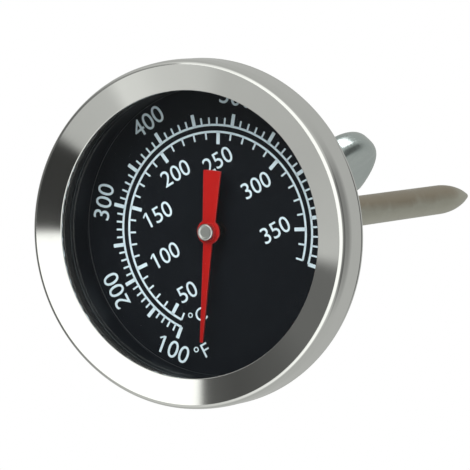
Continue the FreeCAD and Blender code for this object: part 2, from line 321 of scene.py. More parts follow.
class EffectShelf:
    """Shader node groups, each built once and kept by name."""

    def __init__(self) -> None:
        """Starts with an empty shelf."""
        self.groups: dict[Effect, bpy.types.NodeTree] = {}

    def get(self, effect: Effect) -> bpy.types.NodeTree:
        """The group for an effect, built the first time it is asked for."""
        if effect not in self.groups:
            self.groups[effect] = getattr(self, "_" + effect.value)()
        return self.groups[effect]

    @staticmethod
    def _new(name: str, inputs: dict[str, float], outputs: Iterable[str]) -> bpy.types.NodeTree:
        """An empty group with number inputs and outputs.

        Args:
            name: the group's name.
            inputs: the inputs and their defaults.
            outputs: the outputs' names.

        Returns:
            The group, with its Group Input and Group Output nodes.
        """
        group = bpy.data.node_groups.new(name, "ShaderNodeTree")
        for key, value in inputs.items():
            socket = group.interface.new_socket(name=key, in_out="INPUT", socket_type="NodeSocketFloat")
            socket.default_value = value
        for key in outputs:
            group.interface.new_socket(name=key, in_out="OUTPUT", socket_type="NodeSocketFloat")
        group.nodes.new("NodeGroupInput").name = "in"
        group.nodes.new("NodeGroupOutput").name = "out"
        return group

    def _tool_rings(self) -> bpy.types.NodeTree:
        """Fine concentric marks left by turning or polishing on a spindle."""
        group = self._new("tool_rings", {"Scale": 6000.0, "Strength": 1.0}, ["Value"])
        w = Wiring(group)
        place = w.node("ShaderNodeSeparateXYZ", Vector=w.object_place())
        radius = w.maths("SQRT", w.maths("ADD", w.maths("MULTIPLY", place["X"], place["X"]),
                                         w.maths("MULTIPLY", place["Z"], place["Z"])))
        around = w.maths("ARCTAN2", place["X"], place["Z"])
        spot = w.node("ShaderNodeCombineXYZ", X=radius, Y=place["Y"], Z=w.maths("MULTIPLY", around, 0.00012))
        noise = w.node("ShaderNodeTexNoise", Vector=spot["Vector"], Scale=w.given("Scale"), Detail=3.0,
                       Roughness=0.6)
        w.give("Value", w.centred(noise["Fac"], w.given("Strength")))
        return group

    def _mottle(self) -> bpy.types.NodeTree:
        """Broad, soft changes of tone."""
        group = self._new("mottle", {"Scale": 300.0, "Strength": 1.0}, ["Value"])
        w = Wiring(group)
        noise = w.node("ShaderNodeTexNoise", Vector=w.object_place(), Scale=w.given("Scale"), Detail=4.0,
                       Roughness=0.55, Distortion=0.6)
        w.give("Value", w.centred(noise["Fac"], w.given("Strength")))
        return group

    def _scratches(self) -> bpy.types.NodeTree:
        """Hair-fine handling marks that cross each other."""
        group = self._new("scratches", {"Scale": 90.0, "Amount": 0.5}, ["Mask"])
        w = Wiring(group)
        marks = []
        for turn in (0.4, 1.5, 2.5):
            turned = w.node("ShaderNodeMapping", Vector=w.object_place(), Rotation=(turn, turn * 0.7, turn * 1.3),
                            Scale=(1.0, 26.0, 26.0))
            noise = w.node("ShaderNodeTexNoise", Vector=turned["Vector"], Scale=w.given("Scale"), Detail=1.0)
            line = w.node("ShaderNodeMapRange", Value=noise["Fac"], **{"From Min": 0.70, "From Max": 0.76})
            marks.append(line["Result"])
        total = w.maths("MAXIMUM", w.maths("MAXIMUM", marks[0], marks[1]), marks[2])
        w.give("Mask", w.clamped(w.maths("MULTIPLY", total, w.given("Amount"))))
        return group

    def _specks(self) -> bpy.types.NodeTree:
        """Small scattered dots, as dust or pits."""
        group = self._new("specks", {"Scale": 1500.0, "Amount": 0.1}, ["Mask"])
        w = Wiring(group)
        cells = w.node("ShaderNodeTexVoronoi", Vector=w.object_place(), Scale=w.given("Scale"))
        dot = w.node("ShaderNodeMapRange", Value=cells["Distance"], **{
            "From Min": w.given("Amount"), "From Max": 0.0})
        w.give("Mask", w.clamped(dot["Result"]))
        return group

    def _drawn_grain(self) -> bpy.types.NodeTree:
        """Long fine lines along the stem's direction."""
        group = self._new("drawn_grain", {"Scale": 2600.0, "Strength": 1.0}, ["Value"])
        w = Wiring(group)
        stretched = w.node("ShaderNodeMapping", Vector=w.object_place(), Scale=(1.0, 0.03, 1.0))
        noise = w.node("ShaderNodeTexNoise", Vector=stretched["Vector"], Scale=w.given("Scale"), Detail=2.0)
        w.give("Value", w.centred(noise["Fac"], w.given("Strength")))
        return group


class Wiring:
    """Adds and joins nodes in one node tree with few words."""

    def __init__(self, tree: bpy.types.NodeTree) -> None:
        """Takes the tree that the nodes go into."""
        self.tree = tree

    def node(self, kind: str, **inputs: object) -> bpy.types.NodeOutputs:
        """Adds a node.

        Args:
            kind: the node's type.
            inputs: a value or an output socket for each named input.

        Returns:
            The node's outputs.
        """
        made = self.tree.nodes.new(kind)
        for key, value in inputs.items():
            self.plug(value, made.inputs[key])
        return made.outputs

    def plug(self, value: object, socket: bpy.types.NodeSocket) -> None:
        """Sets a socket to a value, or links an output to it."""
        if isinstance(value, bpy.types.NodeSocket):
            self.tree.links.new(value, socket)
        else:
            socket.default_value = value

    def maths(self, operation: str, a: object, b: object = 0.0) -> bpy.types.NodeSocket:
        """One Math node's result."""
        made = self.tree.nodes.new("ShaderNodeMath")
        made.operation = operation
        self.plug(a, made.inputs[0])
        self.plug(b, made.inputs[1])
        return made.outputs[0]

    def clamped(self, value: bpy.types.NodeSocket) -> bpy.types.NodeSocket:
        """The value held between 0 and 1."""
        return self.node("ShaderNodeClamp", Value=value)["Result"]

    def centred(self, value: bpy.types.NodeSocket, strength: object) -> bpy.types.NodeSocket:
        """A noise value made stronger or weaker about 0.5, and held between 0 and 1."""
        swing = self.maths("MULTIPLY", self.maths("SUBTRACT", value, 0.5), strength)
        return self.clamped(self.maths("ADD", swing, 0.5))

    def object_place(self) -> bpy.types.NodeSocket:
        """The point's place on the object."""
        return self.node("ShaderNodeTexCoord")["Object"]

    def given(self, name: str) -> bpy.types.NodeSocket:
        """One of the group's inputs."""
        return self.tree.nodes["in"].outputs[name]

    def give(self, name: str, value: bpy.types.NodeSocket) -> None:
        """Sends a value to one of the group's outputs."""
        self.tree.links.new(value, self.tree.nodes["out"].inputs[name])

    def effect(self, effect: Effect, **inputs: float) -> bpy.types.NodeSocket:
        """Places a shared effect with its own values.

        Args:
            effect: which effect.
            inputs: the values of its inputs.

        Returns:
            The effect's one output.
        """
        made = self.tree.nodes.new("ShaderNodeGroup")
        made.node_tree = SHELF.get(effect)
        for key, value in inputs.items():
            made.inputs[key].default_value = value
        return made.outputs[0]

    def blend(self, amount: object, a: Colour, b: Colour) -> bpy.types.NodeSocket:
        """A colour between a and b.

        Args:
            amount: 0 gives a and 1 gives b.
            a: the first colour, or a colour socket.
            b: the second colour, or a colour socket.

        Returns:
            The colour.
        """
        made = self.tree.nodes.new("ShaderNodeMix")
        made.data_type = "RGBA"
        self.plug(amount, made.inputs["Factor"])
        for value, socket in ((a, made.inputs[6]), (b, made.inputs[7])):
            self.plug(value if isinstance(value, bpy.types.NodeSocket) else (*value, 1.0), socket)
        return made.outputs[2]

    def span(self, value: bpy.types.NodeSocket, low: float, high: float) -> bpy.types.NodeSocket:
        """A 0 to 1 value spread over a range."""
        made = self.node("ShaderNodeMapRange", Value=value, **{"To Min": low, "To Max": high})
        return made["Result"]

    def bump(self, height: bpy.types.NodeSocket, depth_mm: float) -> bpy.types.NodeSocket:
        """A normal from a height pattern of about the given depth."""
        return self.node("ShaderNodeBump", Height=height, Distance=depth_mm * MM, Strength=1.0)["Normal"]


SHELF = EffectShelf()


# ---------------------------------------------------------------- finishes


@dataclass(frozen=True)
class Finish:
    """A surface finish: each kind says how its own nodes are laid out."""

    name: str

    def material(self) -> bpy.types.Material:
        """The material of this finish, made once."""
        found = bpy.data.materials.get("finish_" + self.name)
        if found:
            return found
        made = bpy.data.materials.new("finish_" + self.name)
        made.use_nodes = True
        made.node_tree.nodes.clear()
        wires = Wiring(made.node_tree)
        shader = made.node_tree.nodes.new("ShaderNodeBsdfPrincipled")
        surface = self.lay_out(wires, shader) or shader.outputs[0]
        out = made.node_tree.nodes.new("ShaderNodeOutputMaterial")
        made.node_tree.links.new(surface, out.inputs["Surface"])
        return made

    def lay_out(self, w: Wiring, shader: bpy.types.Node) -> Optional[bpy.types.NodeSocket]:
        """Wires the finish's nodes into the shader.

        Args:
            w: adds nodes to the material.
            shader: the material's Principled BSDF.

        Returns:
            What to show in place of the shader, or None.
        """
        raise NotImplementedError


@dataclass(frozen=True)
class Metal(Finish):
    """Bare or plated metal, with tone changes, tool marks and handling marks."""

    light: Colour = (0.80, 0.80, 0.79)
    dark: Colour = (0.72, 0.72, 0.70)
    rough_low: float = 0.08
    rough_high: float = 0.14
    grain: Effect = Effect.TOOL_RINGS
    grain_scale: float = 5000.0
    grain_depth_mm: float = 0.0006
    marks: float = 0.25
    mottle_scale: float = 220.0
    mottle_contrast: float = 1.0

    def lay_out(self, w: Wiring, shader: bpy.types.Node) -> None:
        """Wires tone, roughness and grain into the shader."""
        tone = w.effect(Effect.MOTTLE, Scale=self.mottle_scale, Strength=self.mottle_contrast)
        grain = w.effect(self.grain, Scale=self.grain_scale, Strength=1.0)
        marks = w.effect(Effect.SCRATCHES, Amount=self.marks)
        w.plug(w.blend(tone, self.light, self.dark), shader.inputs["Base Color"])
        shader.inputs["Metallic"].default_value = 1.0
        wear = w.maths("ADD", w.maths("MULTIPLY", w.maths("ADD", tone, grain), 0.5), marks)
        rough = w.span(w.clamped(wear), self.rough_low, self.rough_high)
        w.plug(rough, shader.inputs["Roughness"])
        w.plug(w.bump(w.maths("SUBTRACT", grain, w.maths("MULTIPLY", marks, 0.6)), self.grain_depth_mm),
               shader.inputs["Normal"])


@dataclass(frozen=True)
class Paint(Finish):
    """Paint, enamel or rubber: a skin with a fine texture and a little dust."""

    base: Colour = (0.02, 0.02, 0.02)
    worn: Colour = (0.04, 0.04, 0.04)
    rough_low: float = 0.3
    rough_high: float = 0.45
    specular: float = 0.5
    texture_scale: float = 4000.0
    texture_depth_mm: float = 0.004
    dust: float = 0.05

    def lay_out(self, w: Wiring, shader: bpy.types.Node) -> None:
        """Wires tone, dust and texture into the shader."""
        tone = w.effect(Effect.MOTTLE, Scale=500.0, Strength=1.2)
        dust = w.effect(Effect.SPECKS, Scale=900.0, Amount=self.dust)
        fine = w.effect(Effect.MOTTLE, Scale=self.texture_scale, Strength=1.0)
        colour = w.blend(tone, self.base, self.worn)
        dusty = w.blend(w.maths("MULTIPLY", dust, 0.35), colour, tuple(min(1.0, c * 1.3 + 0.05) for c in self.worn))
        w.plug(dusty, shader.inputs["Base Color"])
        shader.inputs["Specular IOR Level"].default_value = self.specular
        w.plug(w.span(fine, self.rough_low, self.rough_high), shader.inputs["Roughness"])
        w.plug(w.bump(fine, self.texture_depth_mm), shader.inputs["Normal"])


@dataclass(frozen=True)
class Glass(Finish):
    """Clear flat glass that lets lamps through to what is behind it."""

    tint: Colour = (0.985, 0.995, 0.99)

    def lay_out(self, w: Wiring, shader: bpy.types.Node) -> bpy.types.NodeSocket:
        """Wires smears into the gloss, and a clear way through for the lamps."""
        smear = w.effect(Effect.MOTTLE, Scale=120.0, Strength=1.4)
        shader.inputs["Base Color"].default_value = (*self.tint, 1.0)
        w.plug(w.span(smear, 0.0, 0.02), shader.inputs["Roughness"])
        shader.inputs["Transmission Weight"].default_value = 1.0
        shader.inputs["IOR"].default_value = 1.5
        shader.inputs["Specular IOR Level"].default_value = 0.18
        clear = w.node("ShaderNodeBsdfTransparent", Color=(*self.tint, 1.0))
        rays = w.node("ShaderNodeLightPath")
        lamps = w.maths("MAXIMUM", rays["Is Shadow Ray"], rays["Is Diffuse Ray"])
        made = w.tree.nodes.new("ShaderNodeMixShader")
        w.plug(lamps, made.inputs[0])
        w.plug(shader.outputs[0], made.inputs[1])
        w.plug(clear[0], made.inputs[2])
        return made.outputs[0]


@dataclass(frozen=True)
class HeatTintedSteel(Metal):
    """Stainless tube that smoke and heat have warmed towards the point, with a dark brown band along one side as a
    painted reflection.
    """

    tint: Colour = (0.56, 0.54, 0.44)
    tint_from_y: float = 30.0
    tint_to_y: float = 92.0
    # Dark brown band along one side of the tube: a painted reflection, not a stain.
    streak: Colour = (0.36, 0.29, 0.205)
    streak_way: tuple[float, float] = (0.92, 0.38)

    def lay_out(self, w: Wiring, shader: bpy.types.Node) -> None:
        """Wires the metal, warms its colour along the stem, then paints a dark band along one side as a painted
        reflection.
        """
        super().lay_out(w, shader)
        bare = shader.inputs["Base Color"].links[0].from_socket
        place = w.node("ShaderNodeSeparateXYZ", Vector=w.object_place())
        along = w.node("ShaderNodeMapRange", Value=place["Y"], **{
            "From Min": self.tint_from_y * MM, "From Max": self.tint_to_y * MM})
        patchy = w.clamped(w.maths("ADD", w.maths("MULTIPLY", along["Result"], 0.7),
                                   w.span(w.effect(Effect.MOTTLE, Scale=160.0, Strength=1.5), -0.1, 0.3)))
        warmed = w.blend(patchy, bare, self.tint)
        # Painted reflection: a dark band at a set distance to one side of the axis, wandering a little.
        side = w.maths("ADD", w.maths("MULTIPLY", place["X"], self.streak_way[0] / MM),
                       w.maths("MULTIPLY", place["Z"], self.streak_way[1] / MM))
        wander = w.span(w.effect(Effect.MOTTLE, Scale=130.0, Strength=1.5), -0.5, 0.9)
        band = w.node("ShaderNodeMapRange", Value=w.maths("ADD", side, wander), **{"From Min": 1.7, "From Max": 2.6})
        w.plug(w.blend(w.maths("MULTIPLY", band["Result"], 0.8), warmed, self.streak), shader.inputs["Base Color"])


POLISHED_STEEL = Metal("polished_steel", light=(0.83, 0.83, 0.82), dark=(0.79, 0.79, 0.78), rough_low=0.04,
                       rough_high=0.09, grain_scale=4200.0, grain_depth_mm=0.0004, marks=0.3)
CASE_STEEL = Metal("case_steel", light=(0.68, 0.68, 0.66), dark=(0.58, 0.58, 0.56), rough_low=0.24,
                   rough_high=0.38, grain_scale=3000.0, grain_depth_mm=0.0012)
STEM_STEEL = HeatTintedSteel("stem_steel", light=(0.60, 0.60, 0.53), dark=(0.50, 0.49, 0.43), rough_low=0.26,
                             rough_high=0.40, grain=Effect.DRAWN_GRAIN, grain_depth_mm=0.0015, marks=0.4)
ZINC_PLATE = Metal("zinc_plate", light=(0.62, 0.68, 0.67), dark=(0.44, 0.50, 0.50), rough_low=0.14,
                   rough_high=0.28, grain=Effect.MOTTLE, grain_scale=700.0, grain_depth_mm=0.012, marks=0.3)
PLATED_BRASS = Metal("plated_brass", light=(0.70, 0.69, 0.63), dark=(0.60, 0.57, 0.48), rough_low=0.2,
                     rough_high=0.32)
BRIGHT_NICKEL = Metal("bright_nickel", light=(0.86, 0.86, 0.84), dark=(0.74, 0.74, 0.72), rough_low=0.25,
                      rough_high=0.38, grain_scale=9000.0, grain_depth_mm=0.001)
TURNED_BRASS = Metal("turned_brass", light=(0.78, 0.60, 0.30), dark=(0.66, 0.48, 0.22), rough_low=0.22,
                     rough_high=0.34)
BLACKENED_BRASS = Metal("blackened_brass", light=(0.030, 0.027, 0.024), dark=(0.020, 0.018, 0.016), rough_low=0.4,
                        rough_high=0.5)
PLAIN_ALUMINIUM = Metal("plain_aluminium", light=(0.78, 0.78, 0.78), dark=(0.70, 0.70, 0.71), rough_low=0.3,
                        rough_high=0.42)
SHAFT_WIRE = Metal("shaft_wire", light=(0.60, 0.60, 0.60), dark=(0.50, 0.50, 0.50), rough_low=0.2,
                   rough_high=0.3, grain=Effect.DRAWN_GRAIN)
BIMETAL_STRIP = Metal("bimetal_strip", light=(0.62, 0.58, 0.50), dark=(0.50, 0.44, 0.36), rough_low=0.25,
                      rough_high=0.4)
CLEAR_GLASS = Glass("clear_glass")
SOFT_RUBBER = Paint("soft_rubber", base=(0.012, 0.012, 0.013), worn=(0.02, 0.02, 0.02), rough_low=0.55,
                    rough_high=0.7, specular=0.3)
BLACK_ENAMEL = Paint("black_enamel", base=(0.0022, 0.0031, 0.0048), worn=(0.0045, 0.0058, 0.008), rough_low=0.38,
                     rough_high=0.5, specular=0.09, texture_scale=6000.0, texture_depth_mm=0.0006, dust=0.03)
# Lighter grey for the lining's bead faces: a painted highlight that draws thin light lines at the seams.
BEAD_HIGHLIGHT_ENAMEL = Paint("bead_painted_highlight", base=(0.045, 0.050, 0.050), worn=(0.020, 0.022, 0.024), rough_low=0.3,
                    rough_high=0.4, specular=0.3, dust=0.03)
DIAL_INK = Paint("dial_ink", base=(0.60, 0.70, 0.76), worn=(0.50, 0.60, 0.67), rough_low=0.45, rough_high=0.6,
                 texture_scale=9000.0, texture_depth_mm=0.002, dust=0.0)
POINTER_RED = Paint("pointer_red", base=(0.335, 0.004, 0.003), worn=(0.29, 0.004, 0.003), rough_low=0.3,
                    rough_high=0.42, specular=0.15, texture_scale=5000.0, texture_depth_mm=0.003, dust=0.01)
# Lighter red for the hand's bevelled edges: a painted highlight, not a paint colour.
POINTER_EDGE_HIGHLIGHT = Paint("pointer_edge_highlight", base=(0.42, 0.09, 0.085), worn=(0.36, 0.06, 0.06), rough_low=0.3,
                     rough_high=0.4, texture_scale=5000.0, texture_depth_mm=0.003)


def dress(piece: bpy.types.Object, *finishes: Finish) -> None:
    """Gives a piece its material slots."""
    piece.data.materials.clear()
    for finish in finishes:
        piece.data.materials.append(finish.material())


def settle(piece: bpy.types.Object, body: str, nodes: Sequence[str] = ()) -> None:
    """Puts a finished piece on its body and says what it stands for.

    Args:
        piece: the finished piece.
        body: the body that it moves with.
        nodes: the nodes that it replaces.
    """
    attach(piece, body)
    if nodes:
        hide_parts(*nodes)
    LOG.info("%s: %d faces on %s", piece.name, len(piece.data.polygons), body)


def box_mm(node: str) -> tuple[Vector, Vector]:
    """The lowest and highest corner of a node at rest, in mm."""
    low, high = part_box(node)
    return low / MM, high / MM


# ---------------------------------------------------------------- case


@dataclass
class Case:
    """The bezel, the cup behind it, the glass and the linings between them."""

    turn_steps: int = 224
    face_inner_r: float = 21.75
    lip_y: float = -12.68
    crest_r: float = 25.68
    chamfer: tuple[float, float] = (26.10, 0.14)
    shoulder: tuple[float, float] = (26.30, 0.62)
    belly: tuple[float, float] = (26.49, 2.35)
    sheet: float = 0.5
    hem_inner_r: float = 24.2

    def build(self) -> None:
        """Makes every piece of the case."""
        self.bezel()
        self.cup()
        self.glass()
        self.gasket()
        self.spacer()

    def bezel(self) -> None:
        """The polished ring, with a rolled lip, a round rim and a beaded hem."""
        low, high = box_mm("bezel_ring")
        front, rear = low.y + 0.01, high.y
        wall_r = self.belly[0]
        inner_r = wall_r - self.sheet - 0.15
        outline = rounded([
            (self.face_inner_r, self.lip_y, 0.15),
            (self.crest_r, front, 0.06),
            (self.chamfer[0], front + self.chamfer[1], 0.35),
            (self.shoulder[0], front + self.shoulder[1], 1.2),
            (self.belly[0], front + self.belly[1], 12.0),
            (wall_r - 0.02, rear - 1.25, 2.0),
            (wall_r - 0.05, rear - 0.72, 0.12),
            (wall_r, rear - 0.50, 0.12),
            (wall_r, rear, 0.22),
            (self.hem_inner_r, rear, 0.12),
            (self.hem_inner_r, rear - self.sheet, 0.1),
            (inner_r, rear - self.sheet, 0.1),
            (inner_r, front + self.sheet + 0.4, 0.25),
            (self.face_inner_r + 0.35, self.lip_y + self.sheet, 0.1),
            (self.face_inner_r, self.lip_y + self.sheet + 0.02, 0.1),
        ], steps=8)
        piece = Bench.turned("bezel_shell", outline, self.turn_steps)
        dress(piece, POLISHED_STEEL)
        settle(piece, "case", ["bezel_ring"])

    def cup(self) -> None:
        """The drawn cup, with soft corners and a slightly burred hole."""
        low, high = box_mm("case_cup")
        flange_r, front, back = high.x, low.y, high.y
        wall_r, sheet, hole_r = 23.4, 0.6, 4.05
        outline = rounded([
            (wall_r - sheet, front, 0.3), (flange_r, front, 0.1), (flange_r, front + sheet, 0.1),
            (wall_r, front + sheet, 0.35), (wall_r, back, 1.4), (hole_r, back, 0.15), (hole_r, back - sheet),
            (wall_r - sheet, back - sheet, 0.8),
        ])
        piece = Bench.turned("drawn_cup", outline, self.turn_steps)
        dress(piece, CASE_STEEL)
        settle(piece, "case", ["case_cup"])

    def glass(self) -> None:
        """The flat window with ground edges."""
        low, high = box_mm("lens_glass")
        outline = rounded([
            (0, low.y), (high.x, low.y, 0.3), (high.x, high.y, 0.2), (0, high.y),
        ], closed=False)
        piece = Bench.turned("window", outline, self.turn_steps)
        dress(piece, CLEAR_GLASS)
        settle(piece, "case", ["lens_glass"])

    def gasket(self) -> None:
        """The soft seal, with a bulged inner face."""
        low, high = box_mm("lens_gasket")
        inner_r, middle = 22.2, (low.y + high.y) / 2
        outline = rounded([
            (inner_r + 0.12, low.y, 0.1), (high.x, low.y, 0.15), (high.x, high.y, 0.15),
            (inner_r + 0.12, high.y, 0.1), (inner_r, middle, 0.8),
        ])
        piece = Bench.turned("window_seal", outline, self.turn_steps)
        dress(piece, SOFT_RUBBER)
        settle(piece, "case", ["lens_gasket"])

    def spacer(self) -> None:
        """The black lining, with a fine bead at each end; the beads' inner faces carry a lighter grey as a painted
        highlight along the seams.
        """
        low, high = box_mm("spacer_ring")
        inner_r, outer_r, bead = 22.2, high.x, 0.35
        outline = rounded([
            (inner_r, low.y, 0.08), (outer_r, low.y, 0.05), (outer_r, high.y, 0.05),
            (inner_r, high.y, 0.08), (inner_r, high.y - bead, 0.05), (inner_r + 0.1, high.y - bead - 0.1, 0.05),
            (inner_r + 0.1, low.y + bead + 0.1, 0.05), (inner_r, low.y + bead, 0.05),
        ])
        piece = Bench.turned("lining", outline, self.turn_steps)
        dress(piece, BLACK_ENAMEL, BEAD_HIGHLIGHT_ENAMEL)
        # Faces on the beads' inner edge get the lighter grey, a painted highlight.
        for face in piece.data.polygons:
            middle = face.center / MM
            near_end = min(middle.y - low.y, high.y - middle.y) < bead
            face.material_index = int(near_end and math.hypot(middle.x, middle.z) < inner_r + 0.04)
        settle(piece, "case", ["spacer_ring"])


# ---------------------------------------------------------------- dial


class Unit(Enum):
    """The two temperature scales."""

    FAHRENHEIT = "fahrenheit"
    CELSIUS = "celsius"

    def as_fahrenheit(self, degrees: float) -> float:
        """The temperature in degrees Fahrenheit."""
        return degrees if self is Unit.FAHRENHEIT else degrees * 1.8 + 32


class Facing(Enum):
    """Which way the top of a numeral points."""

    OUTWARD = "outward"
    INWARD = "inward"
    UPRIGHT = "upright"


@dataclass(frozen=True)
class Print:
    """One numeral or mark on the dial."""

    text: str
    clock_deg: float
    radius: float
    height: float
    facing: Facing

    def turn(self) -> float:
        """How far the text is turned clockwise, in degrees."""
        if self.facing is Facing.UPRIGHT:
            return 0.0
        return self.clock_deg + (180.0 if self.facing is Facing.INWARD else 0.0)


def scale_angle(fahrenheit: float) -> float:
    """Where a temperature stands on the dial, clockwise from 12 o'clock in degrees.

    The scale opens out towards its hot end, because the coil turns further there.
    """
    first, span, bow = -128.3, 264.4, 0.15
    share = (fahrenheit - 100.0) / 600.0
    return first + span * (share - bow * share * (1 - share))


@dataclass
class Dial:
    """The printed disc: two arcs, their ticks, the numerals and the unit marks."""

    turn_steps: int = 160
    ink_mm: float = 0.02
    arc_width: float = 0.33
    arc_r: tuple[float, float] = (16.2, 15.15)
    long_tick: tuple[float, float] = (0.56, 1.9)
    short_tick: tuple[float, float] = (0.28, 1.15)
    outer_numeral: tuple[float, float] = (20.0, 2.75)
    inner_numeral_height: float = 2.5
    pushed_out: tuple[tuple[int, float], ...] = ((400, 0.3), (500, 0.8))
    ranges: tuple[tuple[int, int], tuple[int, int]] = ((100, 700), (40, 370))

    def __post_init__(self) -> None:
        """Finds the front of the disc."""
        low, self.high = box_mm("dial_plate")
        self.front = low.y

    def build(self) -> None:
        """Makes the disc and its print."""
        self.disc()
        for unit, radius, limits in zip(Unit, self.arc_r, self.ranges):
            self.arc(unit, radius, limits)
            self.ticks(unit, radius, limits)
        self.numerals("fahrenheit_numerals", self.fahrenheit_prints())
        self.numerals("celsius_numerals", self.celsius_prints())
        self.numerals("unit_marks", self.unit_prints())

    def disc(self) -> None:
        """The enamelled disc."""
        outline = rounded([
            (1.6, self.front, 0.06), (self.high.x, self.front, 0.06), (self.high.x, self.high.y, 0.06),
            (1.6, self.high.y, 0.06),
        ], steps=3)
        piece = Bench.turned("dial_disc", outline, self.turn_steps)
        dress(piece, BLACK_ENAMEL)
        settle(piece, "case", ["dial_plate"])

    def arc(self, unit: Unit, radius: float, limits: tuple[int, int]) -> None:
        """The base line that a scale's ticks stand on."""
        start, end = (scale_angle(unit.as_fahrenheit(t)) for t in limits)
        half = self.arc_width / 2
        y_low, y_high = self.front - self.ink_mm, self.front - 0.001
        outline = [(radius - half, y_low), (radius + half, y_low), (radius + half, y_high),
                   (radius - half, y_high), (radius - half, y_low)]
        piece = Bench.turned(unit.value + "_line", outline, self.turn_steps, end - start, start)
        dress(piece, DIAL_INK)
        settle(piece, "case")

    def ticks(self, unit: Unit, radius: float, limits: tuple[int, int]) -> None:
        """The ticks of one scale, every ten degrees, longer and broader every fifty."""
        outward = 1 if unit is Unit.FAHRENHEIT else -1
        bars = []
        for degrees in range(limits[0], limits[1] + 1, 10):
            width, length = self.long_tick if degrees % 50 == 0 else self.short_tick
            middle = radius + outward * (length / 2)
            angle = math.radians(scale_angle(unit.as_fahrenheit(degrees)))
            bars.append(self.bar(width, length, middle, angle))
        piece = Bench.joined(unit.value + "_ticks", bars)
        dress(piece, DIAL_INK)
        settle(piece, "case")

    def bar(self, width: float, length: float, middle_r: float, angle: float) -> bpy.types.Object:
        """One tick, with its corners eased.

        Args:
            width: across the tick, in mm.
            length: along the tick, in mm.
            middle_r: how far its middle is from the axis, in mm.
            angle: clockwise from 12 o'clock, in radians.

        Returns:
            The tick.
        """
        Bench.clear()
        lift = self.ink_mm
        bpy.ops.mesh.primitive_plane_add(size=1.0, rotation=(math.pi / 2, 0, 0))
        piece = bpy.context.object
        piece.scale = (width * MM, length * MM, 1.0)
        bpy.ops.object.transform_apply(location=True, rotation=True, scale=True)
        bpy.ops.object.mode_set(mode="EDIT")
        bpy.ops.mesh.select_all(action="SELECT")
        bpy.ops.mesh.bevel(offset=width * 0.12 * MM, affect="VERTICES", segments=2)
        bpy.ops.mesh.select_all(action="SELECT")
        bpy.ops.mesh.extrude_region_move(TRANSFORM_OT_translate={"value": (0, (lift - 0.001) * MM, 0)})
        bpy.ops.mesh.select_all(action="SELECT")
        bpy.ops.mesh.normals_make_consistent(inside=False)
        bpy.ops.object.mode_set(mode="OBJECT")
        place = Matrix.Rotation(angle, 4, "Y") @ Matrix.Translation(
            Vector((0, self.front - lift, middle_r)) * MM)
        piece.data.transform(place)
        return piece

    def fahrenheit_prints(self) -> list[Print]:
        """The outer numerals; the two at the ends face the axis."""
        radius, height = self.outer_numeral
        pushed_out = dict(self.pushed_out)
        return [
            Print(str(t), scale_angle(t), radius + pushed_out.get(t, 0.0), height,
                  Facing.INWARD if t in (100, 700) else Facing.OUTWARD)
            for t in range(100, 701, 100)
        ]

    def celsius_prints(self) -> list[Print]:
        """The inner numerals, all upright, nearer the axis where they lie flat across it."""
        prints = []
        for t in range(50, 351, 50):
            angle = scale_angle(Unit.CELSIUS.as_fahrenheit(t))
            reach = 9.75 + 1.45 * abs(math.cos(math.radians(angle))) ** 2
            if t == 50:
                angle, reach = angle - 2.5, 10.8
            prints.append(Print(str(t), angle, reach, self.inner_numeral_height, Facing.UPRIGHT))
        return prints

    @staticmethod
    def unit_prints() -> list[Print]:
        """The two unit marks by the scales' cool ends."""
        return [
            Print("°C", -136.6, 13.6, 2.2, Facing.UPRIGHT),
            Print("°F", -142.8, 18.8, 2.3, Facing.UPRIGHT),
        ]

    def numerals(self, name: str, prints: Sequence[Print]) -> None:
        """A group of numerals as one raised print.

        Args:
            name: the piece's name.
            prints: what to print and where.
        """
        made = [self.lettered(item) for item in prints]
        piece = Bench.joined(name, made)
        dress(piece, DIAL_INK)
        settle(piece, "case")

    @staticmethod
    def upstroke(piece: bpy.types.Object) -> None:
        """Joins a short slanting stroke to the top of the 1 that a numeral starts with."""
        left = min(v.co.x for v in piece.data.vertices)
        top = max(v.co.y for v in piece.data.vertices)
        tall = top - min(v.co.y for v in piece.data.vertices)
        deep = max(v.co.z for v in piece.data.vertices) - min(v.co.z for v in piece.data.vertices)
        out, down, length, width, slant_deg = 0.088 * tall, 0.142 * tall, 0.30 * tall, 0.09 * tall, 38
        Bench.clear()
        bpy.ops.mesh.primitive_cube_add(size=1.0)
        stroke = bpy.context.object
        stroke.data.transform(Matrix.Translation((left - out, top - down, 0))
                              @ Matrix.Rotation(math.radians(slant_deg), 4, "Z")
                              @ Matrix.Diagonal((length, width, deep, 1)))
        piece.select_set(True)
        bpy.context.view_layer.objects.active = piece
        bpy.ops.object.join()

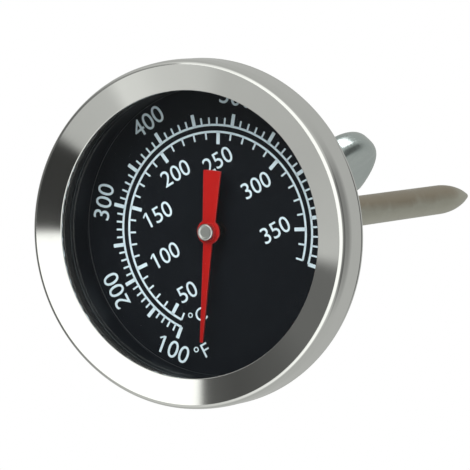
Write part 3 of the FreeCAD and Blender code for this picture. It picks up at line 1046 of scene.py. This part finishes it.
    def lettered(self, item: Print) -> bpy.types.Object:
        """One numeral as a mesh in its place on the disc.

        Args:
            item: the numeral.

        Returns:
            The mesh object.
        """
        Bench.clear()
        bpy.ops.object.text_add()
        text = bpy.context.object
        text.data.body = item.text
        text.data.align_x, text.data.align_y = "CENTER", "CENTER"
        text.data.resolution_u = 5
        half_thick = 0.01
        text.data.extrude = half_thick
        bpy.ops.object.convert(target="MESH")
        piece = bpy.context.object
        if item.text.startswith("1"):
            self.upstroke(piece)
        xs = [v.co.x for v in piece.data.vertices]
        ys = [v.co.y for v in piece.data.vertices]
        grow = item.height / (max(ys) - min(ys))
        middle = Vector(((max(xs) + min(xs)) / 2, (max(ys) + min(ys)) / 2, 0))
        flat = Matrix.Diagonal((grow, grow, self.ink_mm / (2 * half_thick), 1)) @ Matrix.Translation(-middle)
        stand = Matrix.Rotation(math.pi / 2, 4, "X")
        angle = math.radians(item.clock_deg)
        place = Vector((math.sin(angle) * item.radius, self.front - self.ink_mm / 2, math.cos(angle) * item.radius))
        turn = Matrix.Rotation(math.radians(item.turn()), 4, "Y")
        piece.data.transform(Matrix.Scale(MM, 4) @ Matrix.Translation(place) @ turn @ stand @ flat)
        Bench.take(piece)
        bpy.ops.object.mode_set(mode="EDIT")
        bpy.ops.mesh.select_all(action="SELECT")
        bpy.ops.mesh.remove_doubles(threshold=MERGE_M)
        bpy.ops.mesh.normals_make_consistent(inside=False)
        bpy.ops.object.mode_set(mode="OBJECT")
        return piece


# ---------------------------------------------------------------- movement


@dataclass
class Movement:
    """The red hand, its bright cap and the bush behind it."""

    rest_deg: float = -146.2
    disc_r: float = 1.9
    needle: float = 17.0
    tail: float = 9.4
    tip_w: float = 0.6
    root_w: float = 1.75
    neck_w: float = 2.15
    tail_w: float = 3.0
    cap_r: float = 1.31
    cap_recess: tuple[float, float, float] = (0.63, 0.76, 0.15)

    def build(self) -> None:
        """Makes the pieces that turn with the shaft."""
        self.hand()
        self.cap()
        self.bush()

    def hand(self) -> None:
        """The flat hand, cut from sheet with eased edges; the bevel faces get a lighter red as a painted highlight.
        """
        low, high = box_mm("pointer")
        thick = high.y - low.y
        Bench.clear()
        bpy.ops.mesh.primitive_circle_add(vertices=64, radius=self.disc_r * MM, fill_type="NGON",
                                          location=(0, low.y * MM, 0), rotation=(math.pi / 2, 0, 0))
        piece = Bench.keep("red_hand")
        bpy.ops.object.mode_set(mode="EDIT")
        self.pull(piece, self.root_w / 2, self.needle, self.tip_w / self.root_w, 0.0)
        self.pull(piece, self.neck_w / 2, -self.tail, self.tail_w / self.neck_w, 0.25)
        bpy.ops.mesh.select_all(action="SELECT")
        bpy.ops.mesh.extrude_region_move(TRANSFORM_OT_translate={"value": (0, thick * MM, 0)})
        bpy.ops.mesh.select_all(action="SELECT")
        bpy.ops.mesh.normals_make_consistent(inside=False)
        bpy.ops.object.mode_set(mode="OBJECT")
        dress(piece, POINTER_RED, POINTER_EDGE_HIGHLIGHT)
        # The bevel faces take the lighter red, a painted highlight along the edges.
        Bench.modifier(piece, "BEVEL", width=0.15 * MM, segments=2, limit_method="ANGLE",
                       angle_limit=math.radians(50), material=1)
        piece.data.transform(Matrix.Rotation(math.radians(self.rest_deg), 4, "Y"))
        Bench.smooth(piece)
        settle(piece, "movement", ["pointer"])

    @staticmethod
    def pull(piece: bpy.types.Object, half_w: float, reach: float, widen: float, bow: float) -> None:
        """Pulls a blade out of the disc's rim.

        Args:
            piece: the hand, being edited.
            half_w: half the blade's width where it leaves the disc, in mm.
            reach: where the blade ends along Z, in mm.
            widen: the end's width over the root's.
            bow: how round the end is left, from 0 for straight.
        """
        side = 1 if reach > 0 else -1
        root = side * BLADE_ROOT_MM
        Bench.select_edges(piece, lambda p: p.z * side > 0 and abs(p.x) <= half_w + 0.02)
        bpy.ops.mesh.extrude_edges_move(TRANSFORM_OT_translate={"value": (0, 0, 0)})
        bpy.ops.transform.resize(value=(widen, 1, max(bow, 1e-4)), center_override=(0, 0, root * MM))
        bpy.ops.transform.translate(value=(0, 0, (reach - root) * MM))

    def cap(self) -> None:
        """The bright rivet head, with a rolled edge round a shallow sunken middle."""
        low, high = box_mm("pointer_cap")
        floor_share, lip_share, deep = self.cap_recess
        sunk = low.y + deep
        outline = rounded([
            (0, sunk), (self.cap_r * floor_share, sunk, 0.1), (self.cap_r * lip_share, low.y, 0.1),
            (self.cap_r, low.y, 0.24), (self.cap_r, high.y), (0, high.y),
        ], closed=False)
        piece = Bench.turned("rivet_head", outline, 64)
        dress(piece, BRIGHT_NICKEL)
        settle(piece, "movement", ["pointer_cap"])

    def bush(self) -> None:
        """The blackened bush, turned with a small shoulder."""
        low, high = box_mm("pointer_hub")
        outline = rounded([
            (0.6, low.y), (high.x, low.y, 0.08), (high.x, high.y - 0.5, 0.05), (high.x - 0.25, high.y - 0.4, 0.05),
            (high.x - 0.25, high.y, 0.06), (0.6, high.y),
        ])
        piece = Bench.turned("hand_bush", outline, 48)
        dress(piece, BLACKENED_BRASS)
        settle(piece, "movement", ["pointer_hub"])


# ---------------------------------------------------------------- stem


@dataclass
class Stem:
    """The tube, its point and the threaded shank that carries them."""

    turn_steps: int = 96
    bore_r: float = 2.1
    fit_step: float = 0.2
    nose_r: float = 0.55
    shoulder_share: float = 0.47
    shoulder_r_share: float = 0.80

    def build(self) -> None:
        """Makes the pieces of the stem."""
        self.tube()
        self.point()
        self.shank()

    def tube(self) -> None:
        """The drawn tube, with eased ends."""
        low, high = box_mm("stem_tube")
        shank_end = box_mm("threaded_shank")[1].y
        outline = rounded([
            (self.bore_r, low.y), (high.x - self.fit_step, low.y), (high.x - self.fit_step, shank_end),
            (high.x, shank_end, 0.05), (high.x, high.y), (self.bore_r, high.y),
        ])
        piece = Bench.turned("probe_tube", outline, self.turn_steps)
        dress(piece, STEM_STEEL)
        settle(piece, "case", ["stem_tube"])

    def point(self) -> None:
        """The ogive point with a small round nose."""
        low, high = box_mm("stem_tip")
        tube_end = box_mm("stem_tube")[1].y
        radius, nose_y = high.x, high.y - self.nose_r
        shoulder = (radius * self.shoulder_r_share, tube_end + (high.y - tube_end) * self.shoulder_share)
        ogive = arc_through((radius, tube_end), shoulder, (self.nose_r, nose_y), 24)
        slant = self.nose_r * math.sqrt(0.5)
        nose = arc_through((self.nose_r, nose_y), (slant, nose_y + slant), (0, high.y), 8)
        spigot_r = self.bore_r - 0.01
        outline = [(0.0, low.y), (spigot_r, low.y), (spigot_r, tube_end)] + ogive + nose[1:]
        piece = Bench.turned("probe_point", outline, self.turn_steps)
        dress(piece, STEM_STEEL)
        settle(piece, "case", ["stem_tip"])

    def shank(self) -> None:
        """The shank, with its real helical thread shaded smooth."""
        piece = Bench.copied("threaded_shank", "lid_shank")
        Bench.smooth(piece, 28)
        dress(piece, PLATED_BRASS)
        settle(piece, "case", ["threaded_shank"])


# ---------------------------------------------------------------- clamp


@dataclass
class Clamp:
    """The washer and the wing nut behind the lid."""

    voxel: float = 0.26
    blend_rounds: int = 14

    def build(self) -> None:
        """Makes the washer and the nut."""
        self.washer()
        self.nut()

    def washer(self) -> None:
        """The stamped washer: one edge rounded by the punch, the other sharper."""
        low, high = box_mm("clamp_washer")
        outline = rounded([
            (4.3, low.y, 0.25), (high.x, low.y, 0.35), (high.x, high.y, 0.12), (4.3, high.y, 0.1),
        ])
        piece = Bench.turned("stamped_washer", outline, 96)
        dress(piece, ZINC_PLATE)
        settle(piece, "washer", ["clamp_washer"])

    def nut(self) -> None:
        """The cast wing nut, its wings blended into the hub."""
        piece = Bench.copied("wing_nut", "cast_nut")
        Bench.modifier(piece, "REMESH", mode="VOXEL", voxel_size=self.voxel * MM, adaptivity=0.0)
        Bench.modifier(piece, "SMOOTH", factor=0.5, iterations=self.blend_rounds)
        Bench.smooth(piece, 60)
        dress(piece, ZINC_PLATE)
        settle(piece, "nut", ["wing_nut"])


# ---------------------------------------------------------------- inner pieces


@dataclass
class InnerPieces:
    """The nodes that stay as they are and only get their finish."""

    finishes: tuple[tuple[str, Finish], ...] = (
        ("dial_seat_ring", PLAIN_ALUMINIUM),
        ("pointer_shaft", SHAFT_WIRE),
        ("upper_shaft_bush", BLACKENED_BRASS),
        ("lower_shaft_bush", TURNED_BRASS),
        ("coil_collar", TURNED_BRASS),
        ("bimetal_helix", BIMETAL_STRIP),
        ("coil_anchor", TURNED_BRASS),
    )

    def build(self) -> None:
        """Dresses each node."""
        for node, finish in self.finishes:
            dress(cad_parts[node], finish)
            LOG.info("%s: dressed as %s", node, finish.name)


# ---------------------------------------------------------------- studio


@dataclass
class Studio:
    """Camera, pale floor and soft light. Directions are in the part's frame; the view is IMAGE_SIDE steps wide."""

    azimuth_deg: float = 27.6
    elevation_deg: float = 4.2
    dial_lean_deg: float = 29.8
    distance: float = 550.0
    steps_per_mm: float = 6.654
    rim_plane_y: float = -13.4
    aim_steps: tuple[float, float] = (50.0, 0.2)
    floor_z: float = -120.0
    lamp_reach: float = 450.0
    glow_way: tuple[float, float, float] = (0.70, 0.48, 0.53)
    glow_reach: float = 400.0
    glow_size: float = 150.0
    glow_power: float = 0.16

    def axes(self) -> tuple[Vector, Vector, Vector]:
        """The camera's right, up and back directions in the part's frame."""
        a, e = math.radians(self.azimuth_deg), math.radians(self.elevation_deg)
        back = Vector((math.sin(a) * math.cos(e), -math.cos(a) * math.cos(e), math.sin(e)))
        right = Vector((0, 0, 1)).cross(back).normalized()
        up = back.cross(right)
        lean = Matrix.Rotation(math.radians(self.dial_lean_deg), 3, "Y")
        return lean @ right, lean @ up, lean @ back

    def build(self) -> None:
        """Sets up the whole studio."""
        bpy.context.scene.view_settings.view_transform = "Standard"
        self.camera()
        self.floor()
        self.world()
        self.lamps()

    def camera(self) -> None:
        """The long-lens camera."""
        right, up, back = self.axes()
        per_mm = self.steps_per_mm
        ring = Vector((0, self.rim_plane_y, 0))
        stand = ring + back * self.distance
        aim = ring + right * (self.aim_steps[0] / per_mm) + up * (self.aim_steps[1] / per_mm)
        back = (stand - aim).normalized()
        right = up.cross(back).normalized()
        up = back.cross(right)
        data = bpy.data.cameras.new("view")
        data.sensor_width = SENSOR_MM
        data.lens = per_mm * self.distance * SENSOR_MM / IMAGE_SIDE
        data.clip_start, data.clip_end = 0.01, 20.0
        camera = bpy.data.objects.new("view", data)
        bpy.context.scene.collection.objects.link(camera)
        rotation = Matrix((right, up, back)).transposed().to_4x4()
        camera.matrix_world = Matrix.Translation(stand * MM) @ rotation
        bpy.context.scene.camera = camera

    def floor(self) -> None:
        """A plain pale floor well below the object."""
        Bench.clear()
        bpy.ops.mesh.primitive_plane_add(size=3.0, location=(0, 0, self.floor_z * MM))
        floor = Bench.keep("floor")
        made = bpy.data.materials.new("floor")
        made.use_nodes = True
        shader = made.node_tree.nodes["Principled BSDF"]
        shader.inputs["Base Color"].default_value = (0.8, 0.8, 0.8, 1)
        shader.inputs["Roughness"].default_value = 0.9
        floor.data.materials.append(made)
        floor.visible_glossy = False

    @staticmethod
    def soft_box(name: str, way: Vector, reach: float, size: float, power: float) -> bpy.types.Object:
        """A square area lamp that faces the part.

        Args:
            name: the lamp's name.
            way: the direction from the part to the lamp, of length 1.
            reach: how far away it stands, in mm.
            size: its side, in mm.
            power: its power in watts.

        Returns:
            The lamp.
        """
        data = bpy.data.lights.new(name, "AREA")
        data.size = size * MM
        data.energy = power
        lamp = bpy.data.objects.new(name, data)
        bpy.context.scene.collection.objects.link(lamp)
        lamp.location = way * reach * MM
        lamp.rotation_mode = "QUATERNION"
        lamp.rotation_quaternion = way.to_track_quat("Z", "Y")
        return lamp

    def lamps(self) -> None:
        """Soft boxes that light paint and print, and one that only the wing nut reflects."""
        right, up, back = self.axes()
        for name, side, rise, size, power in (("key", -0.5, 0.7, 260.0, 2.2), ("fill", 0.8, 0.2, 300.0, 1.1)):
            way = (back + right * side + up * rise).normalized()
            lamp = self.soft_box(name, way, self.lamp_reach, size, power)
            lamp.visible_glossy = False
            lamp.visible_transmission = False
        glow = self.soft_box("wing_glow", Vector(self.glow_way).normalized(), self.glow_reach, self.glow_size,
                             self.glow_power)
        glow.visible_camera = False
        lit = bpy.data.collections.new("lit_by_wing_glow")
        lit.objects.link(bpy.data.objects["cast_nut"])
        glow.light_linking.receiver_collection = lit

    def world(self) -> None:
        """White surroundings, with the soft boxes and flags that the metal reflects."""
        right, up, back = self.axes()
        mirror = Vector((-back.x, back.y, -back.z))
        across = (right - mirror * right.dot(mirror)).normalized()
        rise = across.cross(mirror) * -1
        if rise.dot(up) < 0:
            rise.negate()
        world = bpy.data.worlds.new("studio")
        bpy.context.scene.world = world
        world.use_nodes = True
        tree = world.node_tree
        tree.nodes.clear()
        w = Wiring(tree)
        way = w.node("ShaderNodeTexCoord")["Generated"]

        def along(direction: Vector) -> bpy.types.NodeSocket:
            """How far the ray goes along a direction, from -1 to 1."""
            made = tree.nodes.new("ShaderNodeVectorMath")
            made.operation = "DOT_PRODUCT"
            w.plug(way, made.inputs[0])
            made.inputs[1].default_value = direction
            return made.outputs["Value"]

        def ramp(value: object, stops: Sequence[tuple[float, Colour]]) -> bpy.types.NodeSocket:
            """A colour read from a 0 to 1 value."""
            made = tree.nodes.new("ShaderNodeValToRGB")
            band = made.color_ramp
            for i, (at, colour) in enumerate(stops):
                stop = band.elements[i] if i < 2 else band.elements.new(at)
                stop.position = at
                stop.color = (*colour, 1)
            w.plug(value, made.inputs[0])
            return made.outputs["Color"]

        def grey(level: float) -> Colour:
            """A neutral tone, slightly warm."""
            return (level * 0.985, level, level * 0.955)

        clock = w.maths("ARCTAN2", along(across), along(rise))
        share = w.maths("FRACT", w.maths("ADD", w.maths("DIVIDE", clock, FULL_TURN), 1.0))
        sectors = ramp(share, [
            (0.0, grey(1.35)), (0.229, grey(1.35)), (0.236, grey(0.06)), (0.26, grey(0.045)), (0.322, grey(0.04)),
            (0.332, grey(0.52)), (0.40, grey(0.55)), (0.418, grey(0.80)), (0.445, grey(0.76)), (0.468, grey(0.68)),
            (0.525, grey(0.63)), (0.55, grey(0.52)), (0.664, grey(0.50)), (0.714, grey(0.54)), (0.742, grey(0.58)),
            (0.752, grey(0.15)), (0.8155, grey(0.15)), (0.8525, grey(0.108)), (0.908, grey(0.08)),
            (0.945, grey(0.10)), (0.953, grey(0.16)), (0.961, grey(1.35)), (1.0, grey(1.35)),
        ])
        near_mirror = w.maths("ARCCOSINE", along(mirror))
        from_camera = w.maths("DIVIDE", w.maths("ARCCOSINE", along(back)), math.pi)
        plain_room = ramp(from_camera, [
            (0.0, grey(1.3)), (0.25, grey(1.2)), (0.38, grey(0.70)), (0.56, grey(0.47)), (1.0, grey(0.47)),
        ])
        barred_room = ramp(from_camera, [
            (0.0, grey(1.3)), (0.25, grey(1.2)), (0.38, grey(0.55)), (0.48, grey(0.16)), (0.60, grey(0.13)),
            (0.70, grey(0.47)), (1.0, grey(0.47)),
        ])
        level = w.maths("ABSOLUTE", along(up))
        bar = w.node("ShaderNodeMapRange", Value=level, **{"From Min": 0.6, "From Max": 0.35})
        room = w.blend(bar["Result"], plain_room, barred_room)
        core = w.node("ShaderNodeMapRange", Value=near_mirror, **{
            "From Min": math.radians(9), "From Max": math.radians(12)})
        edge = w.node("ShaderNodeMapRange", Value=near_mirror, **{
            "From Min": math.radians(32), "From Max": math.radians(38)})
        inner = w.blend(core["Result"], (0.07, 0.075, 0.08), sectors)
        seen = w.blend(edge["Result"], inner, room)
        rays = w.node("ShaderNodeLightPath")
        final = w.blend(rays["Is Camera Ray"], seen, (1.0, 1.0, 1.0))
        shown = w.node("ShaderNodeBackground", Color=final, Strength=1.0)
        out = tree.nodes.new("ShaderNodeOutputWorld")
        tree.links.new(shown[0], out.inputs["Surface"])


def main() -> None:
    """Builds the looks in order."""
    logging.basicConfig(level=logging.INFO, format="%(name)s %(message)s")
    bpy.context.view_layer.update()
    for part in (Case(), Dial(), Movement(), Stem(), Clamp(), InnerPieces()):
        part.build()
    Studio().build()


if __name__ == "__main__":
    main()
